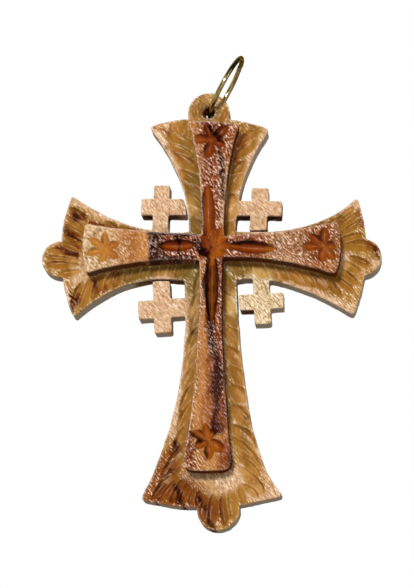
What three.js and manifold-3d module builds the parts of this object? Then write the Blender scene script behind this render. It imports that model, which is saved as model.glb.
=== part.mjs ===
// Carved olive wood pendant cross with four small crosses between its arms and a brass jump ring.
// Millimetres, +X right and +Z up as the pendant hangs, front towards -Y.
// The origin is the crossing of the stem and the beam, on the flat back face.
import * as THREE from 'three';
import { mergeVertices } from 'three/addons/utils/BufferGeometryUtils.js';
import Module from 'manifold-3d';

const wasm = await Module();
wasm.setup();

// Layers, from the back face forward
const BASE_THICKNESS = 3.5;
const GLUE_THICKNESS = 0.2;
const OVERLAY_THICKNESS = 3.3;
const GLUE_INSET = 0.5;

// Fret saw cut that frees one arm of each small cross
const KERF = 0.35;

// Every arm is drawn along its own heading, in degrees from +X towards +Z. A flank is a curve that leaves
// the arm's axis at half width root, is pulled towards the point at distance turn and half width aim, and
// ends at its corner at reach and spread. cw is the flank on the clockwise side of the heading, ccw the
// other one. bulge is how far the end edge swells past its chord, and round softens the two corners.
const BASE_ARMS = {
  right: {
    heading: 0, bulge: 2.0, round: 0.5,
    cw: { root: 6.0, aim: 0.9, turn: 8.2, reach: 23.8, spread: 10.8 },
    ccw: { root: 4.6, aim: 2.2, turn: 16.8, reach: 24.5, spread: 9.95 },
  },
  top: {
    heading: 90, bulge: 1.9, round: 0.9,
    cw: { root: 3.9, aim: 2.4, turn: 12.0, reach: 22.7, spread: 9.4 },
    ccw: { root: 4.8, aim: 2.6, turn: 11.2, reach: 23.5, spread: 11.75 },
  },
  left: {
    heading: 180, bulge: 2.1, round: 0.5,
    cw: { root: 4.8, aim: 2.0, turn: 12.7, reach: 25.0, spread: 11.1 },
    ccw: { root: 6.0, aim: 0.6, turn: 13.1, reach: 24.0, spread: 10.85 },
  },
  bottom: {
    heading: 270, bulge: 1.7, round: 0.6,
    cw: { root: 5.6, aim: 2.3, turn: 23.2, reach: 42.3, spread: 11.65 },
    ccw: { root: 3.7, aim: 4.8, turn: 34.3, reach: 41.6, spread: 12.1 },
  },
};

// Round lobe at each arm's end, centred at reach along the arm and offset to its ccw side
const LOBES = {
  right: { radius: 3.25, reach: 25.4, offset: -0.65 },
  left: { radius: 3.25, reach: 26.6, offset: 0.4 },
  bottom: { radius: 3.55, reach: 43.9, offset: 1.3 },
};

// Tab on the top arm, and the hole through it for the ring
const TAB = { radius: 3.67, reach: 25.9, offset: 1.3 };
const HOLE_RADIUS = 1.0;

// Raised cross that is glued on the base, lifted a little above the base's own crossing
const OVERLAY_LIFT = 0.45;
const OVERLAY_ARMS = {
  right: {
    heading: 0, bulge: 0.75, round: 0.7,
    cw: { root: 1.95, aim: 1.0, turn: 8.8, reach: 21.0, spread: 4.95 },
    ccw: { root: 2.0, aim: 2.2, turn: 12.5, reach: 21.1, spread: 4.25 },
  },
  top: {
    heading: 90, bulge: 0.3, round: 0.3,
    cw: { root: 2.05, aim: 1.4, turn: 11.5, reach: 21.9, spread: 4.25 },
    ccw: { root: 1.9, aim: 1.6, turn: 13.6, reach: 22.7, spread: 4.5 },
  },
  left: {
    heading: 180, bulge: 0.6, round: 0.7,
    cw: { root: 2.2, aim: 3.2, turn: 18.0, reach: 21.9, spread: 4.6 },
    ccw: { root: 2.3, aim: 1.5, turn: 12.7, reach: 21.5, spread: 4.35 },
  },
  bottom: {
    heading: 270, bulge: 0.4, round: 1.8,
    cw: { root: 2.1, aim: 1.5, turn: 22.8, reach: 38.1, spread: 4.55 },
    ccw: { root: 1.95, aim: 0.95, turn: 12.5, reach: 38.1, spread: 3.8 },
  },
};

// Small crosses, turned by tilt degrees. upright and bar are the widths of their two strips, and tipX and
// tipZ the reaches of the two outer arms from the centre. The two inner arms run into the large arms, and
// a kerf frees one of them from the large arm named free.
const CROSSLETS = [
  { centre: [-9.3, 8.8], tilt: -1, upright: 2.75, bar: 2.95, tipX: 3.5, tipZ: 3.95, free: 'top' },
  { centre: [7.7, 8.3], tilt: -2, upright: 2.95, bar: 2.65, tipX: 3.85, tipZ: 3.65, free: 'right' },
  { centre: [-8.75, -9.4], tilt: 3.5, upright: 2.95, bar: 3.3, tipX: 4.1, tipZ: 4.2, free: 'left' },
  { centre: [8.3, -8.3], tilt: 3, upright: 2.8, bar: 2.75, tipX: 3.75, tipZ: 3.9, free: 'bottom' },
];

// Knife cuts in the raised cross, as boat shaped hollows. Places are measured from its own crossing.
const LEAF_DEPTH = 0.9;
const LEAVES = [
  { from: [-0.4, 10.6], to: [-0.1, 0.3], width: 2.1 },
  { from: [2.4, 0.7], to: [10.9, -0.4], width: 1.6 },
  { from: [-9.1, 0.6], to: [-2.0, 0.5], width: 1.6 },
  { from: [0.1, -0.3], to: [-0.2, -13.2], width: 1.75 },
];
const STAR = { rays: 8, reach: 3.1, width: 1.0, depth: 0.8 };
const PETAL = { reach: 3.1, width: 1.45, depth: 0.75 };
const ROSETTES = [
  { centre: [-18.2, 0.2], petals: 6, first: 25 },
  { centre: [19.0, 0.1], petals: 6, first: 20 },
  { centre: [0.1, 18.8], petals: 5, first: 42 },
  { centre: [-0.5, -33.2], petals: 6, first: 30 },
];

// Gouge cuts across the base's borders, from the distance first along each arm. They start beside the
// raised cross, lean outward along the arm by lean times their run, and stop at edge from the flank.
const GOUGE = { first: 5.6, pitch: 2.1, width: 1.5, depth: 0.45, start: 0.3, edge: 0.35, lean: 0.75 };
// Gouge cuts that fan out of the raised cross's ends, over an angle of open degrees
const FAN = { width: 1.5, depth: 0.5, edge: 0.6 };
const FANS = {
  right: { cuts: 9, open: 128, start: 1.2 },
  left: { cuts: 9, open: 128, start: 1.2 },
  bottom: { cuts: 9, open: 110, start: 3.2 },
};

// Jump ring, bent from round wire, with a saw cut where it opens, and its play below the wire in the hole
const RING = { radius: 5.85, wire: 0.84, cut: 0.12, cutAngle: 20 };
const RING_PLAY = 0.66;
const RING_LEAN = 28.2;
const RING_TURN = 6;

// Facets, and how far a through cut runs past the faces
const FLANK_STEPS = 12;
const ROUND_STEPS = 4;
const LOBE_STEPS = 32;
const CUT_SIDES = 6;
const CUT_RINGS = 4;
const RING_SIDES = 10;
const RING_STEPS = 60;
const PAST = 1;
const WELD = 1e-5;

const BASE_FRONT = -BASE_THICKNESS;
const GLUE_FRONT = BASE_FRONT - GLUE_THICKNESS;
const OVERLAY_FRONT = GLUE_FRONT - OVERLAY_THICKNESS;

const WOOD_PALE = new THREE.MeshStandardMaterial({ color: 0xb8864a, roughness: 0.45, metalness: 0 });
const WOOD_DARK = new THREE.MeshStandardMaterial({ color: 0x8a4a22, roughness: 0.4, metalness: 0 });
const GLUE = new THREE.MeshStandardMaterial({ color: 0xd8c08a, roughness: 0.5, metalness: 0 });
const BRASS = new THREE.MeshStandardMaterial({ color: 0xb59a4e, roughness: 0.25, metalness: 1 });

const radians = THREE.MathUtils.degToRad;

// Solid from a closed three.js geometry
function solidOf(geometry) {
  const bare = geometry.index ? geometry.toNonIndexed() : geometry.clone();
  bare.deleteAttribute('normal');
  bare.deleteAttribute('uv');
  const merged = mergeVertices(bare, WELD);
  const vertProperties = new Float32Array(merged.attributes.position.array);
  const triVerts = new Uint32Array(merged.index.array);
  return new wasm.Manifold(new wasm.Mesh({ numProp: 3, vertProperties, triVerts }));
}

function geometryOf(solid) {
  const mesh = solid.getMesh();
  const geometry = new THREE.BufferGeometry();
  geometry.setAttribute('position', new THREE.BufferAttribute(new Float32Array(mesh.vertProperties), 3));
  geometry.setIndex(new THREE.BufferAttribute(new Uint32Array(mesh.triVerts), 1));
  const faceted = geometry.toNonIndexed();
  faceted.computeVertexNormals();
  return faceted;
}

// Plate of an outline drawn in X and Z, from the plane y = back forward to y = front
function plate(points, back, front) {
  const shape = new THREE.Shape(points.map(([x, z]) => new THREE.Vector2(x, z)));
  const geometry = new THREE.ExtrudeGeometry(shape, { depth: back - front, bevelEnabled: false });
  geometry.rotateX(Math.PI / 2);
  geometry.translate(0, back, 0);
  return solidOf(geometry);
}

// Point at u along an arm and v to its ccw side, as X and Z
function place(heading, u, v) {
  const angle = radians(heading);
  return [u * Math.cos(angle) - v * Math.sin(angle), u * Math.sin(angle) + v * Math.cos(angle)];
}

function bezier(a, b, c, t) {
  const s = 1 - t;
  return [0, 1].map((k) => s * s * a[k] + 2 * s * t * b[k] + t * t * c[k]);
}

// The three control points of a flank, in the arm's own u and v
function flank(arm, side, grow) {
  const edge = arm[side];
  const sign = side === 'cw' ? -1 : 1;
  return [
    [0, sign * (edge.root + grow)],
    [edge.turn, sign * (edge.aim + grow)],
    [edge.reach + grow, sign * (edge.spread + grow)],
  ];
}

// Closed outline of one arm in its own u and v, grown outwards by grow
function armOutline(arm, grow = 0) {
  const low = flank(arm, 'cw', grow);
  const high = flank(arm, 'ccw', grow);
  const swell = [(low[2][0] + high[2][0]) / 2 + 2 * arm.bulge, (low[2][1] + high[2][1]) / 2];
  const curves = [low, [low[2], swell, high[2]], [high[2], high[1], high[0]]];
  const trims = curves.map(([a, b, c]) => ({
    start: arm.round / (2 * Math.hypot(b[0] - a[0], b[1] - a[1])),
    end: arm.round / (2 * Math.hypot(c[0] - b[0], c[1] - b[1])),
  }));
  const points = [];
  curves.forEach(([a, b, c], k) => {
    const from = k === 0 ? 0 : trims[k].start;
    const to = k === 2 ? 1 : 1 - trims[k].end;
    for (let i = 0; i <= FLANK_STEPS; i++) {
      points.push(bezier(a, b, c, from + ((to - from) * i) / FLANK_STEPS));
    }
    if (k < 2) {
      const next = curves[k + 1];
      const last = points[points.length - 1];
      const first = bezier(...next, trims[k + 1].start);
      for (let i = 1; i < ROUND_STEPS; i++) points.push(bezier(last, c, first, i / ROUND_STEPS));
    }
  });
  return points;
}

function armPlate(arm, back, front, grow = 0, lift = 0) {
  const outline = armOutline(arm, grow).map(([u, v]) => place(arm.heading, u, v));
  return plate(outline.map(([x, z]) => [x, z + lift]), back, front);
}

function disc([x, z], radius, back, front) {
  const points = [];
  for (let i = 0; i < LOBE_STEPS; i++) {
    const angle = (2 * Math.PI * i) / LOBE_STEPS;
    points.push([x + radius * Math.cos(angle), z + radius * Math.sin(angle)]);
  }
  return plate(points, back, front);
}

// Round end of an arm, with a neck as wide as its radius that runs back inside the arm
function roundEnd(heading, end) {
  const corners = [[0, -0.5], [1, -0.5], [1, 0.5], [0, 0.5]];
  const neck = corners.map(([along, across]) => place(heading, end.reach * along, end.offset + end.radius * across));
  return disc(place(heading, end.reach, end.offset), end.radius, 0, BASE_FRONT).add(plate(neck, 0, BASE_FRONT));
}

function joined(solids) {
  return solids.reduce((all, solid) => all.add(solid));
}

// Boat shaped cutter whose widest section lies on the plane y = level, between two points of X and Z
function boat([x0, z0], [x1, z1], width, depth, level) {
  const profile = [];
  for (let i = 0; i <= CUT_RINGS; i++) {
    const angle = Math.PI * (i / CUT_RINGS - 0.5);
    const onAxis = i === 0 || i === CUT_RINGS;
    profile.push(new THREE.Vector2(onAxis ? 0 : Math.cos(angle), Math.sin(angle)));
  }
  const geometry = new THREE.LatheGeometry(profile, CUT_SIDES, Math.PI / CUT_SIDES);
  geometry.scale(width / 2, Math.hypot(x1 - x0, z1 - z0) / 2, depth);
  geometry.rotateX(Math.PI / 2);
  geometry.rotateY(Math.atan2(x1 - x0, z1 - z0));
  geometry.translate((x0 + x1) / 2, level, (z0 + z1) / 2);
  return solidOf(geometry);
}

// Half width of an arm on one side, at the distance u along it
function flankAt(arm, side, u) {
  const [a, b, c] = flank(arm, side, 0);
  const bend = c[0] - 2 * b[0];
  const t = u / (b[0] + Math.sqrt(b[0] ** 2 + bend * u));
  return Math.abs(bezier(a, b, c, t)[1]);
}

// Small cross of two bars in the quadrant of its centre
function crosslet(spec) {
  const [cx, cz] = spec.centre;
  const sx = Math.sign(cx);
  const sz = Math.sign(cz);
  const angle = radians(spec.tilt);
  const turned = ([x, z]) => [
    cx + x * Math.cos(angle) - z * Math.sin(angle),
    cz + x * Math.sin(angle) + z * Math.cos(angle),
  ];
  const bar = (x0, x1, z0, z1) => {
    const corners = [[x0, z0], [x1, z0], [x1, z1], [x0, z1]];
    return plate(corners.map(turned), 0, BASE_FRONT);
  };
  const span = (tip, centre, sign) => [tip * sign, -Math.abs(centre) * sign].sort((a, b) => a - b);
  const across = span(spec.tipX, cx, sx);
  const up = span(spec.tipZ, cz, sz);
  const bars = bar(...across, -spec.bar / 2, spec.bar / 2).add(bar(-spec.upright / 2, spec.upright / 2, ...up));
  return bars.subtract(armPlate(BASE_ARMS[spec.free], PAST, BASE_FRONT - PAST, KERF));
}

// Gouge cuts along one flank, from the raised cross out to the base's edge
function borderCuts(name, side) {
  const arm = BASE_ARMS[name];
  const raised = OVERLAY_ARMS[name];
  const sign = side === 'cw' ? -1 : 1;
  const lift = place(-arm.heading, 0, OVERLAY_LIFT);
  const last = arm[side].reach - GOUGE.pitch;
  const cuts = [];
  for (let u = GOUGE.first; u <= last; u += GOUGE.pitch) {
    const inner = flankAt(raised, side, Math.min(u - lift[0], raised[side].reach)) + sign * lift[1];
    const run = flankAt(arm, side, u) - inner;
    const end = Math.min(u + GOUGE.lean * run, last);
    const from = place(arm.heading, u, sign * (inner + GOUGE.start));
    const to = place(arm.heading, end, sign * (flankAt(arm, side, end) - GOUGE.edge));
    cuts.push(boat(from, to, GOUGE.width, GOUGE.depth, BASE_FRONT));
  }
  return cuts;
}

// Gouge cuts that fan out from the end of the raised cross to the edge of an arm's flared end or lobe
function fanCuts(name) {
  const arm = BASE_ARMS[name];
  const raised = OVERLAY_ARMS[name];
  const lobe = LOBES[name];
  const fan = FANS[name];
  const near = raised.cw.reach + raised.bulge + fan.start;
  const edge = arm.cw.reach + arm.bulge;
  const cuts = [];
  for (let i = 0; i < fan.cuts; i++) {
    const slope = Math.tan(radians(fan.open * (i / (fan.cuts - 1) - 0.5)));
    const across = (u) => lobe.offset + slope * (u - near + fan.start);
    const offLobe = Math.abs(across(edge) - lobe.offset);
    const onLobe = offLobe < lobe.radius;
    const far = onLobe ? lobe.reach + Math.sqrt(lobe.radius ** 2 - offLobe ** 2) : edge;
    const from = place(arm.heading, near, across(near));
    const to = place(arm.heading, far - FAN.edge, across(far - FAN.edge));
    cuts.push(boat(from, to, FAN.width, FAN.depth, BASE_FRONT));
  }
  return cuts;
}

const tabCentre = place(BASE_ARMS.top.heading, TAB.reach, TAB.offset);

function baseCross() {
  const arms = Object.values(BASE_ARMS).map((arm) => armPlate(arm, 0, BASE_FRONT));
  const lobes = Object.entries(LOBES).map(([name, lobe]) => roundEnd(BASE_ARMS[name].heading, lobe));
  const tab = roundEnd(BASE_ARMS.top.heading, TAB);
  const body = joined([...arms, ...lobes, tab, ...CROSSLETS.map(crosslet)]);
  const hole = disc(tabCentre, HOLE_RADIUS, PAST, BASE_FRONT - PAST);
  const borders = Object.keys(BASE_ARMS).flatMap((name) => [...borderCuts(name, 'cw'), ...borderCuts(name, 'ccw')]);
  const fans = Object.keys(FANS).flatMap(fanCuts);
  return body.subtract(hole).subtract(joined([...borders, ...fans]));
}

function raisedPlate(back, front, grow) {
  return joined(Object.values(OVERLAY_ARMS).map((arm) => armPlate(arm, back, front, grow, OVERLAY_LIFT)));
}

function overlayCross() {
  const lifted = ([x, z]) => [x, z + OVERLAY_LIFT];
  const cut = (from, to, width, depth) => boat(lifted(from), lifted(to), width, depth, OVERLAY_FRONT);
  const ray = ([x, z], degrees, reach, width, depth) => {
    const angle = radians(degrees);
    return cut([x, z], [x + reach * Math.cos(angle), z + reach * Math.sin(angle)], width, depth);
  };
  const leaves = LEAVES.map((leaf) => cut(leaf.from, leaf.to, leaf.width, LEAF_DEPTH));
  const star = [];
  for (let i = 0; i < STAR.rays; i++) {
    star.push(ray([0, 0], (360 * i) / STAR.rays, STAR.reach, STAR.width, STAR.depth));
  }
  const petals = ROSETTES.flatMap((rosette) => {
    const angles = Array.from({ length: rosette.petals }, (_, i) => rosette.first + (360 * i) / rosette.petals);
    return angles.map((angle) => ray(rosette.centre, angle, PETAL.reach, PETAL.width, PETAL.depth));
  });
  return raisedPlate(GLUE_FRONT, OVERLAY_FRONT, 0).subtract(joined([...leaves, ...star, ...petals]));
}

// The ring stands in the plane of local Y and Z, where the origin is the middle of the tab's hole
function jumpRing() {
  const torus = new THREE.TorusGeometry(RING.radius, RING.wire / 2, RING_SIDES, RING_STEPS);
  torus.rotateY(Math.PI / 2);
  const saw = new THREE.BoxGeometry(RING.wire * 2, RING.cut, RING.wire * 2);
  saw.translate(0, 0, RING.radius);
  saw.rotateX(radians(RING.cutAngle));
  const ring = geometryOf(solidOf(torus).subtract(solidOf(saw)));
  const lowest = RING.wire / 2 + RING_PLAY - HOLE_RADIUS;
  ring.translate(0, 0, RING.radius + lowest);
  ring.rotateZ(radians(RING_TURN));
  return ring;
}

function named(name, geometry, material) {
  const mesh = new THREE.Mesh(geometry, material);
  mesh.name = name;
  return mesh;
}

const pendant = new THREE.Group();
pendant.add(named('base_cross', geometryOf(baseCross()), WOOD_PALE));
pendant.add(named('glue_line', geometryOf(raisedPlate(BASE_FRONT, GLUE_FRONT, -GLUE_INSET)), GLUE));
pendant.add(named('overlay_cross', geometryOf(overlayCross()), WOOD_DARK));

const ringSwing = new THREE.Group();
ringSwing.position.set(tabCentre[0], -BASE_THICKNESS / 2, tabCentre[1]);
ringSwing.rotation.y = radians(RING_LEAN);
ringSwing.add(named('jump_ring', jumpRing(), BRASS));
pendant.add(ringSwing);

export default pendant;
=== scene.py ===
# Carved olive wood pendant cross with four small crosses between its arms and a brass jump ring.
# Lengths are in millimetres, in the frame's axes, and become metres where a piece is made or placed.
# Angles are in degrees. Headings turn from +X towards +Z, as seen from the front.
import math
import random
from dataclasses import dataclass

import bpy
import numpy as np
from numpy.linalg import norm
from mathutils import Matrix, Vector, kdtree
from mathutils.geometry import delaunay_2d_cdt


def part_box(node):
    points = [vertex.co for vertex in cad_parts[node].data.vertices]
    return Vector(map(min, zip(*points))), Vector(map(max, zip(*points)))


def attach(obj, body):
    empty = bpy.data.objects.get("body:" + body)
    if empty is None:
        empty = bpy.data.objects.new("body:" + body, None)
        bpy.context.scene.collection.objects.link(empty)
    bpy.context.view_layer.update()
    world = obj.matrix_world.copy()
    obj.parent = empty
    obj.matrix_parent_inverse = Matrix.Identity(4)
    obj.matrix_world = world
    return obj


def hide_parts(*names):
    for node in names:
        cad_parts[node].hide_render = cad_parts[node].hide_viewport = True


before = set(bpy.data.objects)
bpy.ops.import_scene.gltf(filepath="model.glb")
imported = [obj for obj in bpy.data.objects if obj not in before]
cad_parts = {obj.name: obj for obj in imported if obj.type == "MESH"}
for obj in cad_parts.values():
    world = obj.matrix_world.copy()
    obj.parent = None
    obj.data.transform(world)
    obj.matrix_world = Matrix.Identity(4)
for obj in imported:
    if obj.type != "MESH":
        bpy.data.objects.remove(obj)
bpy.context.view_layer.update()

MM = 0.001
random.seed(41)

# Camera, as the photograph was taken
PHOTO_WIDTH = 414
FOCAL_PIXELS = 2051
SENSOR = 36
VIEW_AZIMUTH = 5.7
VIEW_ELEVATION = -15.0
VIEW_ROLL = 0.9
VIEW_DISTANCE = 350
VIEW_TARGET = Vector((-1.077, -3.5, -6.917))
NEAREST_SEEN = 10

# Planes of the two wooden layers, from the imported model
BASE_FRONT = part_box("base_cross")[0].y / MM
BASE_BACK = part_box("base_cross")[1].y / MM
OVERLAY_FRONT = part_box("overlay_cross")[0].y / MM
OVERLAY_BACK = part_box("overlay_cross")[1].y / MM

# Fineness of the meshes, the turn that makes a corner, and what counts as the same place
EDGE_STEP = 0.16
FACE_STEP = 0.17
BACK_STEP = 1.2
CUT_STEP = 0.13
LEAST_GAP = 0.07
CORNER_TURN = 30
CORNER_ROUNDS = 3
WALL_ROWS = 6
SAME = 0.001
TINY = 1e-6

# Count of the sines in a wave, and the shortest and longest of them as shares of its length
WAVES = 7
WAVE_LENGTHS = (0.7, 1.5)


def waves(x, z, length, seed):
    """Sum of sines in random directions, mostly from -1 to 1, with features of the given length"""
    rng = random.Random(seed)
    total = np.zeros_like(x)
    for _ in range(WAVES):
        heading = rng.uniform(0, math.tau)
        turns = math.tau / (length * rng.uniform(*WAVE_LENGTHS))
        total += np.sin((x * math.cos(heading) + z * math.sin(heading)) * turns + rng.uniform(0, math.tau))
    return total / math.sqrt(WAVES)


def smoothstep(value, low, high):
    t = np.clip((value - low) / (high - low), 0, 1)
    return t * t * (3 - 2 * t)


# Outlines

# Lengths of the slow and the quick wander of a sawn line, and the share of the quick one
SLOW_WANDER = 5.0
QUICK_WANDER = 1.1
QUICK_SHARE = 0.4


def face_loops(node, level):
    """Closed edge loops of a CAD node's faces in the plane y = level, as arrays of X and Z"""
    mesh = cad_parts[node].data
    sides = set()
    for polygon in mesh.polygons:
        corners = [mesh.vertices[i].co / MM for i in polygon.vertices]
        if all(abs(corner.y - level) < SAME for corner in corners):
            keys = [(round(corner.x, 3), round(corner.z, 3)) for corner in corners]
            sides.update(zip(keys, keys[1:] + keys[:1]))
    follow = {a: b for a, b in sides if (b, a) not in sides}
    loops = []
    while follow:
        here = min(follow)
        loop = []
        while here in follow:
            loop.append(here)
            here = follow.pop(here)
        loops.append(np.array(loop))
    return loops


def facing_in(loops):
    """The same loops, each with the material on its left: the outer one turns from +X to +Z"""
    def area(loop):
        x, z = loop[:, 0], loop[:, 1]
        return 0.5 * np.sum(x * np.roll(z, -1) - np.roll(x, -1) * z)
    loops = sorted(loops, key=lambda loop: -abs(area(loop)))
    return [loop if (area(loop) > 0) == (i == 0) else loop[::-1] for i, loop in enumerate(loops)]


def left_of(along):
    """Unit vectors to the left of some directions"""
    return np.stack([-along[:, 1], along[:, 0]], axis=1) / norm(along, axis=1)[:, None]


def spline_loop(loop):
    """A loop with smooth curves between its corners, in steps of about EDGE_STEP"""
    keep = [i for i in range(len(loop)) if norm(loop[i] - loop[i - 1]) > LEAST_GAP]
    loop = loop[keep]
    ahead = np.roll(loop, -1, axis=0) - loop
    length = norm(ahead, axis=1)
    way = ahead / length[:, None]
    way_in = np.roll(way, 1, axis=0)
    turn = np.degrees(np.arccos(np.clip(np.sum(way * way_in, axis=1), -1, 1)))
    weight = np.roll(length, 1) / (length + np.roll(length, 1))
    tangent = way * weight[:, None] + way_in * (1 - weight[:, None])
    points = []
    for i in range(len(loop)):
        j = (i + 1) % len(loop)
        leave = way[i] if turn[i] > CORNER_TURN else tangent[i]
        reach = way[i] if turn[j] > CORNER_TURN else tangent[j]
        steps = max(1, round(length[i] / EDGE_STEP))
        for t in np.arange(steps) / steps:
            a = 2 * t**3 - 3 * t**2 + 1
            b = t**3 - 2 * t**2 + t
            c = t**3 - t**2
            points.append(a * loop[i] + (1 - a) * loop[j] + length[i] * (b * leave + c * reach))
    return np.array(points)


def worn_loop(sharp, wander, seed):
    """A sawn outline: corners a little rounded and the line a little unsteady, within the sharp one's box"""
    loop = spline_loop(sharp)
    for _ in range(CORNER_ROUNDS):
        loop = 0.5 * loop + 0.25 * (np.roll(loop, 1, axis=0) + np.roll(loop, -1, axis=0))
    along = np.roll(loop, -1, axis=0) - np.roll(loop, 1, axis=0)
    x, z = loop.T
    push = wander * (waves(x, z, SLOW_WANDER, seed) + QUICK_SHARE * waves(x, z, QUICK_WANDER, seed + 1))
    return np.clip(loop + left_of(along) * push[:, None], sharp.min(axis=0), sharp.max(axis=0))


def bored(loops, share, bore):
    """The loops at a share of the way from front to back, where the last one is scaled as the bore says"""
    hole = loops[-1]
    middle = hole.mean(axis=0)
    return [*loops[:-1], middle + (hole - middle) * np.interp(share, *zip(*bore))]


def search_tree(points):
    tree = kdtree.KDTree(len(points))
    for i, (x, z) in enumerate(points):
        tree.insert((x, z, 0), i)
    tree.balance()
    return tree


class Border:
    """The outline of a flat piece, with the distance from any point to it, positive inside"""

    def __init__(self, loops):
        self.loops = loops
        self.points = np.concatenate(loops)
        self.after = np.concatenate([np.roll(loop, -1, axis=0) for loop in loops])
        self.before = np.concatenate([np.roll(loop, 1, axis=0) for loop in loops])
        self.tree = search_tree(self.points)

    def inward(self):
        """Unit normals at the outline's points, towards the material"""
        return left_of(self.after - self.before)

    def nearest(self, here):
        return np.array([self.tree.find((x, z, 0))[1] for x, z in here], int)

    def distance(self, here):
        near = self.nearest(here)
        best = np.full(len(here), np.inf)
        side = np.zeros(len(here))
        for start, end in ((self.before[near], self.points[near]), (self.points[near], self.after[near])):
            run = end - start
            size = np.sum(run * run, axis=1)
            t = np.clip(np.sum((here - start) * run, axis=1) / size, 0, 1)
            gap = norm(here - start - run * t[:, None], axis=1)
            offset = (run[:, 0] * (here - start)[:, 1] - run[:, 1] * (here - start)[:, 0]) / np.sqrt(size)
            closer = (gap < best - SAME) | ((gap < best + SAME) & (np.abs(offset) > np.abs(side)))
            side = np.where(closer, offset, side)
            best = np.minimum(best, gap)
        return np.sign(side) * best

    def facing(self, here, way):
        """How much the edge nearest to each point faces a direction, from -1 to 1"""
        return -(self.inward() @ np.array(way))[self.nearest(here)]

    def grid(self, step):
        """Points of a triangular grid inside the outline"""
        rows = []
        lowest, highest = self.points.min(axis=0), self.points.max(axis=0)
        for k, level in enumerate(np.arange(lowest[1] + step / 3, highest[1], step * math.sqrt(3) / 2)):
            a, b = self.points, self.after
            crossing = (a[:, 1] > level) != (b[:, 1] > level)
            share = (level - a[crossing, 1]) / (b[crossing, 1] - a[crossing, 1])
            xs = np.sort(a[crossing, 0] + share * (b[crossing, 0] - a[crossing, 0]))
            for left, right in zip(xs[::2], xs[1::2]):
                x = np.arange(math.ceil(left / step), right / step) * step + (k % 2) * step / 2
                rows.append(np.stack([x, np.full_like(x, level)], axis=1))
        return np.concatenate(rows)


# Carving

# Each cut's own tone at most, the shade painted from side to side, and the depth from which both show in full
OWN_TONE = 0.5
PAINTED_SIDE_SHADE = 0.6
FULL_TONE_DEPTH = 0.65
# How steeply a cut goes down from its ends
END_RISE = 0.8
# Where the light comes from in X and Z: cut walls on its side get painted shade, and edges facing it a
# painted highlight
UPPER_LEFT = np.array([-0.5, 0.85])
LIGHT_SIDE = (-0.8, 0.6)
# Spread of the cuts in a row
START_SPREAD = (-0.2, 0.2)
HEADING_SPREAD = (-4, 4)
LENGTH_SPREAD = (0.85, 1.05)
MARGIN_SPREAD = (0.7, 1.3)
WIDTH_SPREAD = (0.85, 1.15)
DEPTH_SPREAD = (0.75, 1.2)
SWELL_SPREAD = (-0.1, 0.3)
# Section of the gouge, and how finely its way to the outline is tried
GOUGE_KEEL = 0.4
GOUGE_SHAPE = dict(section=1.6, tip=0.6)
FIRST_TRY = 0.4
TRY_STEP = 0.1


@dataclass
class Cut:
    """Boat shaped hollow of a gouge or a knife between two points.
    bend is how far its middle bows to the left of its run, and keel where its deepest line lies, from -1 at
    the right side to 1 at the left. section is 1 for straight walls and 2 for round ones, and tip is 0.5 for
    round ends and 1 for sharp ones. swell widens it towards its end, and the last field paints a highlight
    along its middle and shade along its rims."""
    start: tuple
    end: tuple
    width: float
    depth: float
    bend: float = 0
    keel: float = 0
    section: float = 1.4
    tip: float = 0.75
    swell: float = 0
    painted_middle_light: float = 0

    def __post_init__(self):
        self.start = np.array(self.start, float)
        self.run = np.array(self.end, float) - self.start
        self.middle = self.start + self.run / 2
        self.length = norm(self.run)
        self.way = self.run / self.length
        self.side = np.array([-self.way[1], self.way[0]])
        self.own_tone = OWN_TONE * random.uniform(-1, 1)
        self.contrast = min(1, self.depth / FULL_TONE_DEPTH)
        self.shaded = upper_left(self.side)

    def half_width(self, s):
        """Half the width at s, from -1 at the start to 1 at the end"""
        return self.width / 2 * np.clip(1 - s * s, 0, 1) ** self.tip * (1 + self.swell * s)

    def depths(self, x, z):
        """Depth at each point, and its tone, with painted shade towards the upper left side and a painted
        middle highlight
        """
        found = np.zeros_like(x)
        tone = np.zeros_like(x)
        reach = self.length / 2 + self.width + abs(self.bend)
        near = np.hypot(x - self.middle[0], z - self.middle[1]) < reach
        offset = np.stack([x[near], z[near]], axis=1) - self.middle
        s = (offset @ self.way) / (self.length / 2)
        along = np.clip(1 - s * s, 0, 1)
        half = self.half_width(np.clip(s, -1, 1)) + TINY
        t = (offset @ self.side - self.bend * along) / half
        wall = np.where(t > self.keel, (t - self.keel) / (1 - self.keel), (self.keel - t) / (1 + self.keel))
        hollow = np.clip(1 - wall**self.section, 0, 1) * (np.abs(t) < 1)
        found[near] = self.depth * along**END_RISE * hollow
        t = np.clip(t, -1, 1)
        # Own tone, painted shade on the upper left side, and a painted highlight along the middle with shade
        # at the rims
        tone[near] = self.own_tone - PAINTED_SIDE_SHADE * self.shaded * t + self.painted_middle_light * (0.5 - np.abs(t))
        return found, tone * self.contrast

    def lines(self):
        """Points along both rims and the keel"""
        steps = max(6, round(self.length / CUT_STEP))
        s = -np.cos(np.pi * (np.arange(1, steps) / steps))
        along = 1 - s * s
        centre = self.middle + np.outer(s * self.length / 2, self.way)
        centre = centre + np.outer(self.bend * along, self.side)
        half = self.half_width(s)
        rims = [centre + np.outer(half * t, self.side) for t in (-1.0, self.keel, 1.0)]
        return np.concatenate(rims + [[self.start, self.start + self.run]])


def direction(heading):
    """Unit vector in X and Z"""
    angle = math.radians(heading)
    return np.array([math.cos(angle), math.sin(angle)])


def upper_left(side):
    """1 if a direction is towards the light, and -1 if not"""
    return 1 if side @ UPPER_LEFT > 0 else -1


def facing_light(start, end, lean):
    """A keel's place or a bend of the given size, turned to the upper left side of a cut"""
    run = np.array(end) - np.array(start)
    return lean * upper_left(np.array([-run[1], run[0]]))


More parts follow.
